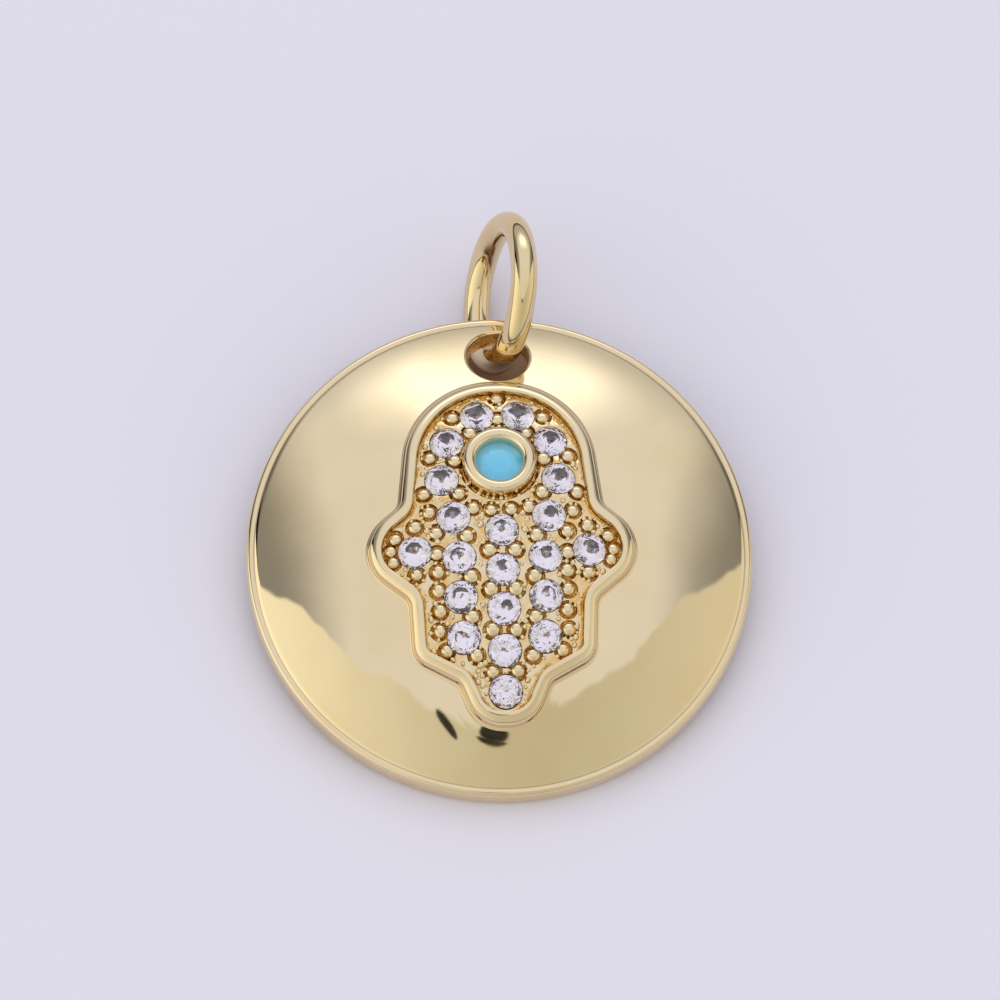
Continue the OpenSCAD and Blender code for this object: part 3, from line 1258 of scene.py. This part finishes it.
    def _seats(self) -> list[Thing]:
        """Cutters of the clear stones' seats."""
        plan = self.layout
        below = 0.03 * plan.stone_d + self.seat_gap
        straight = below + self.lift - plan.stone_lift + 0.02
        foot = (0.45 * plan.stone_d, 0.06)
        # The seat's pointed foot takes the dull seat finish, coloured with painted shade.
        pin = self._pin(plan.stone_d / 2 + self.seat_gap, straight, foot, self.chamfer, (0, 1))
        return self._copies(pin, plan.stone_spots(), plan.field_lift + plan.stone_lift - below)

    def _pits(self) -> list[Thing]:
        """Cutters of the pits that the beads stand in."""
        plan = self.layout
        cutters: list[Thing] = []
        for bead in BEADS:
            radius = SettingBeads.radius(plan, bead) + self.pit_room
            # The pits take the finish with painted shade.
            pin = self._pin(radius, self.pit_depth, (0.1, 0.6), 0.03, (2, 2))
            spots = plan.spots(bead.across, bead.down)
            cutters += self._copies(pin, spots, self.top - self.pit_depth)
        return cutters

    def _eye_room(self) -> Thing:
        """Cutter of the room for the blue stone and its bezel, with a pit at the bezel's foot."""
        pin = self._pin(self.eye_pit, self.pit_depth, (0.1, 0.9), 0.02, (2, 2))
        return self._copies(pin, [(0, self.layout.eye_y)], self.top - self.pit_depth)[0]


@dataclass
class SettingBeads:
    """The small round beads that hold the clear stones, and the cast lumps left between them."""

    layout: Layout
    outline: HandOutline
    finish: Finish
    height: float = 0.2
    cap: float = 0.62
    foot: float = 0.42
    seed: int = 11
    lumps: int = 260
    lump_r: Pair = (0.07, 0.13)
    lump_lift: Pair = (-0.04, 0.08)
    lump_gap: float = 0.17

    @staticmethod
    def radius(plan: Layout, bead: Bead) -> float:
        """Radius of a bead's post."""
        return plan.bead_d * (0.25 + 0.18 * bead.size)

    def build(self) -> Thing:
        """Builds all the beads as one piece.

        Returns:
            The dressed piece.
        """
        plan = self.layout
        pattern = self._bead()
        draw = random.Random(self.seed)
        beads = []
        for bead in BEADS:
            for spot in plan.spots(bead.across, bead.down):
                radius = self.radius(plan, bead)
                top = plan.field_lift + self.height + draw.uniform(-0.02, 0.03)
                wide = (radius * draw.uniform(0.94, 1.06), radius * draw.uniform(0.94, 1.06))
                lean = Matrix.Rotation(draw.uniform(-0.12, 0.12), 4, "X")
                stand = plan.stand_on_dome(*spot, top) @ lean
                beads.append(copy_to(pattern, stand @ Matrix.Diagonal((*wide, radius, 1))))
        bpy.data.objects.remove(pattern)
        piece = take(*beads, *self._lumps(draw))
        bpy.ops.object.join()
        settle(piece, plan.on_table())
        return finish_piece(piece, "setting_beads", [self.finish], Node.DISC)

    def _lumps(self, draw: random.Random) -> list[Thing]:
        """Small lumps strewn between the stones and the beads.

        Args:
            draw: Source of their sizes and places.

        Returns:
            The lumps.
        """
        plan = self.layout
        taken = [(*spot, plan.stone_d / 2) for spot in plan.stone_spots()]
        for bead in BEADS:
            room = 0.8 * self.radius(plan, bead)
            taken += [(*spot, room) for spot in plan.spots(bead.across, bead.down)]
        taken.append((0, plan.eye_y, plan.eye_d / 2 + plan.bezel_w - plan.bezel_lip))
        low, high = plan.hand_top - plan.hand_len, plan.hand_top
        count = 30 * self.lumps
        tries = np.array([(draw.uniform(-6, 6), draw.uniform(low, high)) for _ in range(count)])
        tries = tries[self.outline.distance(tries) < -plan.rim_w - self.lump_r[1]]
        pattern = add(bpy.ops.mesh.primitive_uv_sphere_add, segments=12, ring_count=8, radius=1)
        lumps: list[Thing] = []
        for spot in tries:
            radius = draw.uniform(*self.lump_r)
            met = any(math.dist(spot, (a, b)) < r + radius for a, b, r in taken)
            if len(lumps) == self.lumps or met:
                continue
            taken.append((*spot, self.lump_gap - radius))
            lift = plan.field_lift + draw.uniform(*self.lump_lift)
            size = Matrix.Diagonal((radius * draw.uniform(0.8, 1.3), radius, radius, 1))
            turn = Matrix.Rotation(3 * spot[0], 4, "Z")
            lumps.append(copy_to(pattern, plan.stand_on_dome(*spot, lift) @ turn @ size))
        bpy.data.objects.remove(pattern)
        log.info("setting_beads: %d lumps", len(lumps))
        return lumps

    def _bead(self) -> Thing:
        """One bead: a rounded cap on a short post, of radius one."""
        bead = add(bpy.ops.mesh.primitive_uv_sphere_add, segments=24, ring_count=14, radius=1)
        edit(bead, action="SELECT")
        bpy.ops.transform.resize(value=(1, 1, self.cap), center_override=(0, 0, 0))
        pick(bead, lambda place, normal: place.z < -0.02)
        bpy.ops.transform.resize(value=(1.1, 1.1, 0.1), center_override=(0, 0, 0))
        bpy.ops.transform.translate(value=(0, 0, -self.foot / self.layout.bead_d * 2.5))
        put_down()
        settle(bead, Matrix.Translation((0, 0, -self.cap)))
        return bead


@dataclass
class EyeBezel:
    """The rounded collar round the blue stone."""

    layout: Layout
    finish: Finish
    steps: int = 96
    swell: float = 0.05
    lap: float = 0.05
    skirt: float = 0.42

    def build(self) -> Thing:
        """Spins the collar from its section.

        Returns:
            The dressed piece.
        """
        plan = self.layout
        radius = (plan.bezel_w + self.lap) / 2
        inner = plan.eye_d / 2 - plan.bezel_lip - self.lap
        level = plan.field_lift + plan.bezel_h - radius
        circle = {"location": (inner + radius, 0, level), "rotation": (math.pi / 2, 0, 0)}
        collar = add(bpy.ops.mesh.primitive_circle_add, vertices=32, radius=radius, **circle)
        edit(collar)
        pick(collar, lambda place, normal: place.z < level - 0.001)
        bpy.ops.transform.resize(value=(1, 1, 0.1), center_override=(0, 0, level))
        bpy.ops.transform.translate(value=(0, 0, -self.skirt))
        pick(collar, lambda place, normal: place.z < level - 0.01 and place.x > inner + radius)
        bpy.ops.transform.translate(value=(self.swell, 0, 0))
        bpy.ops.mesh.select_all(action="SELECT")
        bpy.ops.mesh.spin(
            steps=self.steps, angle=2 * math.pi, center=(0, 0, 0), axis=(0, 0, 1)
        )
        put_down()
        close_skin(collar)
        settle(collar, plan.on_table() @ plan.stand_on_dome(0, plan.eye_y))
        return finish_piece(collar, "eye_bezel", [self.finish], Node.DISC)


@dataclass
class JumpRing:
    """The round wire ring that stands through the hole."""

    layout: Layout
    finish: Finish

    def build(self) -> Thing:
        """Builds the ring.

        Returns:
            The dressed piece.
        """
        plan = self.layout
        ring = add(
            bpy.ops.mesh.primitive_torus_add,
            major_radius=plan.ring_r,
            minor_radius=plan.wire_r,
            major_segments=160,
            minor_segments=48,
            rotation=(0, math.radians(90 + plan.ring_lean), 0),
            location=(plan.ring_aside, plan.ring_y - plan.middle_y, plan.ring_z),
        )
        settle(ring, Matrix.Scale(MM, 4))
        return finish_piece(ring, "wire_ring", [self.finish], Node.RING)


@dataclass
class CutStones:
    """The cut stones, which stay as the CAD gives them."""

    clear: Finish
    blue: Finish

    def dress(self) -> None:
        """Gives each stone its finish."""
        for name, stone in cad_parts.items():
            if name.startswith(Node.CLEAR.value):
                wear(stone, [self.clear])
            elif name == Node.EYE.value:
                wear(stone, [self.blue])
        log.info("cut_stones: %d CAD nodes dressed", len(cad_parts) - 2)


# The studio


@dataclass
class Studio:
    """Pale floor, soft light tent and the camera at the photograph's angle.

    Each dark thing in the tent is given by its place, its reach both ways and its slant.
    """

    layout: Layout
    floor_finish: Finish
    lens: float = 1000.0
    sensor: float = 36.0
    pixels: float = 1000.0
    pixels_per_mm: float = 28.15
    disc_pixel: Pair = (499.0, 561.0)
    look_down: float = 19.5
    look_aside: float = 2.76
    roll: float = 1.86
    dark_things: tuple[tuple[float, ...], ...] = (
        (-0.19, -0.47, 0.016, 0.06, 0.6),
        (-0.008, -0.52, 0.07, 0.045, 0.0),
    )

    def build(self) -> None:
        """Sets the floor, the light and the camera."""
        bpy.context.scene.view_settings.view_transform = "Standard"
        floor = add(bpy.ops.mesh.primitive_plane_add, size=3)
        floor.name = "floor"
        wear(floor, [self.floor_finish])
        self._light()
        self._camera()
        log.info("studio: floor, light tent and camera")

    def _camera(self) -> None:
        """Places the camera."""
        down, aside, roll = (math.radians(a) for a in (self.look_down, self.look_aside, self.roll))
        turn = Matrix.Rotation(-aside, 4, "Y") @ Matrix.Rotation(down, 4, "X")
        shift = (
            (self.pixels / 2 - self.disc_pixel[0]) / self.pixels_per_mm,
            (self.disc_pixel[1] - self.pixels / 2) / self.pixels_per_mm,
            self.lens / self.sensor * self.pixels / self.pixels_per_mm,
        )
        middle = Matrix.Translation((0, 0, self.layout.edge_t / 2))
        seen = turn @ Matrix.Rotation(-roll, 4, "Z") @ Matrix.Translation(shift)
        place, facing, _ = (self.layout.on_table() @ middle @ seen).decompose()
        bpy.ops.object.camera_add()
        camera = bpy.context.object
        camera.matrix_world = Matrix.LocRotScale(place, facing, None)
        camera.data.lens = self.lens
        camera.data.sensor_width = self.sensor
        camera.data.clip_start = 0.01
        camera.data.clip_end = 10.0
        bpy.context.scene.camera = camera

    def _light(self) -> None:
        """Lights the scene with a soft tent: bright behind, plain in front, dim at the sides."""
        world = bpy.data.worlds.new("light_tent")
        bpy.context.scene.world = world
        world.use_nodes = True
        graph = Graph(world.node_tree)
        coords = graph.node("ShaderNodeTexCoord").outputs["Generated"]
        split = graph.node("ShaderNodeSeparateXYZ", {0: coords})
        x, y, z = (Value(graph, split.outputs[i]) for i in range(3))
        wave = graph.noise(coords, 5.0, 2.0) - 0.5
        high = z.at_least(0.05)
        across, along = abs(x / high), y / high
        card = across * 0.55 + across.step(0.55, 1.0) * 0.2 - 0.62
        overhead = (along - card + wave * 0.16).step(-0.015, 0.015)
        side = abs(x - 0.03)
        dim = 1 - side.step(0.54, 0.78) * 0.66 - side.step(0.83, 0.88) * 0.33
        glow = y.step(0.62, 0.84) * (1 - side.step(0.2, 0.5)) * z.step(0.3, 0.58)
        low = 0.6 + z.step(0.2, 0.55) * 0.4
        above = (dim * low * 0.92 + glow) * overhead
        front = (x * x * 0.45 - x * 0.2 + 0.68) * (1 - overhead)
        horizon = 0.12 + z.step(0.01, 0.14) * 0.88
        dark: Value | float = 0.0
        for middle_x, middle_y, wide, long, slant in self.dark_things:
            ahead = y - middle_y
            aside, ahead = (x - middle_x + ahead * slant) / wide, ahead / long
            dark = dark + (1 - (aside * aside + ahead * ahead + wave * 0.8).step(0.8, 1.2))
        strength = (above + front) * horizon * (1 - dark * 0.95)
        tone = graph.mix(overhead, colour(1.0, 0.995, 0.86), colour(0.95, 0.98, 1.02))
        lamp = graph.node("ShaderNodeBackground", {"Color": tone, "Strength": strength})
        graph.node("ShaderNodeOutputWorld", {"Surface": lamp.outputs[0]})


def main() -> None:
    """Builds the pendant and its studio, and reports each piece."""
    logging.basicConfig(level=logging.INFO, format="%(name)s: %(message)s", stream=sys.stdout)
    layout = Layout()
    outline = HandOutline(layout)
    # The second finish paints shade and gold-on-gold reflection into the hollows.
    gold, painted_recess_shade = GoldPlate(), RecessGoldPaintedShade()
    # Gold of the stone field: its deep amber patches are painted gold-on-gold reflection.
    field_gold_painted_reflection = GoldPlate(
        "field_gold_painted_reflection",
        patch_tone=colour(0.80, 0.51, 0.18),
        patches=(1.6, 4.0),
        bump=(0.6, 0.00012),
        peel=0.5,
        peel_grain=3.0,
    )
    wire_gold = GoldPlate("wire_gold", colour(0.82, 0.655, 0.40), colour(0.78, 0.60, 0.33))
    DiscCasting(layout, outline, gold, painted_recess_shade).build()
    StoneField(layout, outline, (field_gold_painted_reflection, DullSeatPaintedShade(), painted_recess_shade)).build()
    SettingBeads(layout, outline, gold).build()
    EyeBezel(layout, gold).build()
    JumpRing(layout, wire_gold).build()
    CutStones(ClearStone(), BlueStone()).dress()
    Studio(layout, PaleFloor()).build()


if __name__ == "__main__":
    main()
